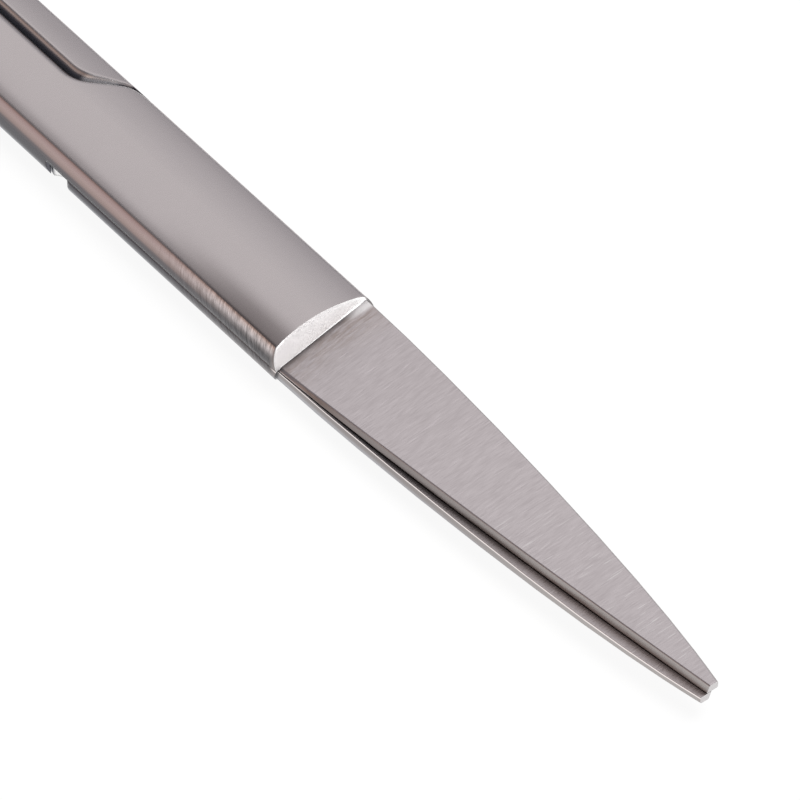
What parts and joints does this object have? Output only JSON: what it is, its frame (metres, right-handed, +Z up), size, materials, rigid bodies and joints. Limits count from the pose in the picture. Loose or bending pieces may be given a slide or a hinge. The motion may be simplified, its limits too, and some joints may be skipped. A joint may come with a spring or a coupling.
{
  "type": "medical scissors",
  "caption": "Straight, sharp-pointed medical scissors: two forged steel halves with finger rings that turn on a slotted pivot screw.",
  "frame": {"origin": "middle of the closed scissors' length and width, on the plane that they lie on", "axes": "+X from the finger rings to the tips, +Z up along the pivot axis, +Y towards the upper blade's spine"},
  "size_m": [0.145, 0.0586, 0.0046],
  "materials": {
    "satin_steel": "satin, cross-ground blades",
    "screw_steel": "turned and polished"
  },
  "bodies": {
    "lower": {"lower_half": "satin_steel"},
    "upper": {"upper_half": "satin_steel", "pivot_screw": "screw_steel"}
  },
  "joints": [
    {"name": "pivot", "type": "hinge", "parent": "lower", "child": "upper", "pos_m": [0.0125, 0, 0.0023], "axis": [0, 0, 1], "range_deg": [0, 70]}
  ]
}
